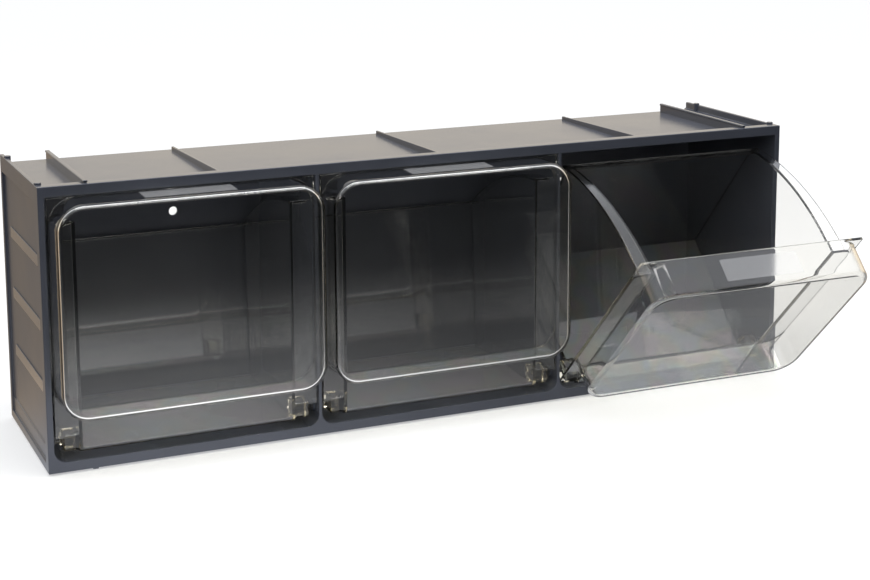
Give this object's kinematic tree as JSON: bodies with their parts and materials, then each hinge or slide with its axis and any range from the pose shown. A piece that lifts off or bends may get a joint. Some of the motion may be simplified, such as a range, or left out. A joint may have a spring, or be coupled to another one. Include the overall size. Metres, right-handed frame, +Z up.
{
  "type": "tilt-out parts bin cabinet",
  "caption": "Wide low cabinet with a dark moulded housing and clear tilt-out bins that hinge forward at their lower front edge; ribs along its top and end walls let modules stack.",
  "frame": {"origin": "centre of the housing's footprint, on the surface it stands on (the bottom of its foot ribs)", "axes": "+X along the row of bins to the right as seen from the front, +Y from the open front to the back wall, +Z up"},
  "size_m": [0.6, 0.2776, 0.207],
  "materials": {
    "housing_plastic": "satin dark blue-grey moulded polystyrene, glossier on the top panel",
    "clear_plastic": "clear crystal polystyrene with polished faces"
  },
  "bodies": {
    "housing": {"housing": "housing_plastic"},
    "bin_left": {"bin_left": "clear_plastic"},
    "bin_middle": {"bin_middle": "clear_plastic"},
    "bin_right": {"bin_right": "clear_plastic"}
  },
  "joints": [
    {"name": "left_tilt", "type": "hinge", "parent": "housing", "child": "bin_left", "pos_m": [-0.19783, -0.0565, 0.02133], "axis": [1, 0, 0], "range_deg": [0, 45]},
    {"name": "middle_tilt", "type": "hinge", "parent": "housing", "child": "bin_middle", "pos_m": [0, -0.0565, 0.02133], "axis": [1, 0, 0], "range_deg": [0, 45]},
    {"name": "right_tilt", "type": "hinge", "parent": "housing", "child": "bin_right", "pos_m": [0.19783, -0.0565, 0.02133], "axis": [1, 0, 0], "range_deg": [-45, 0]}
  ]
}
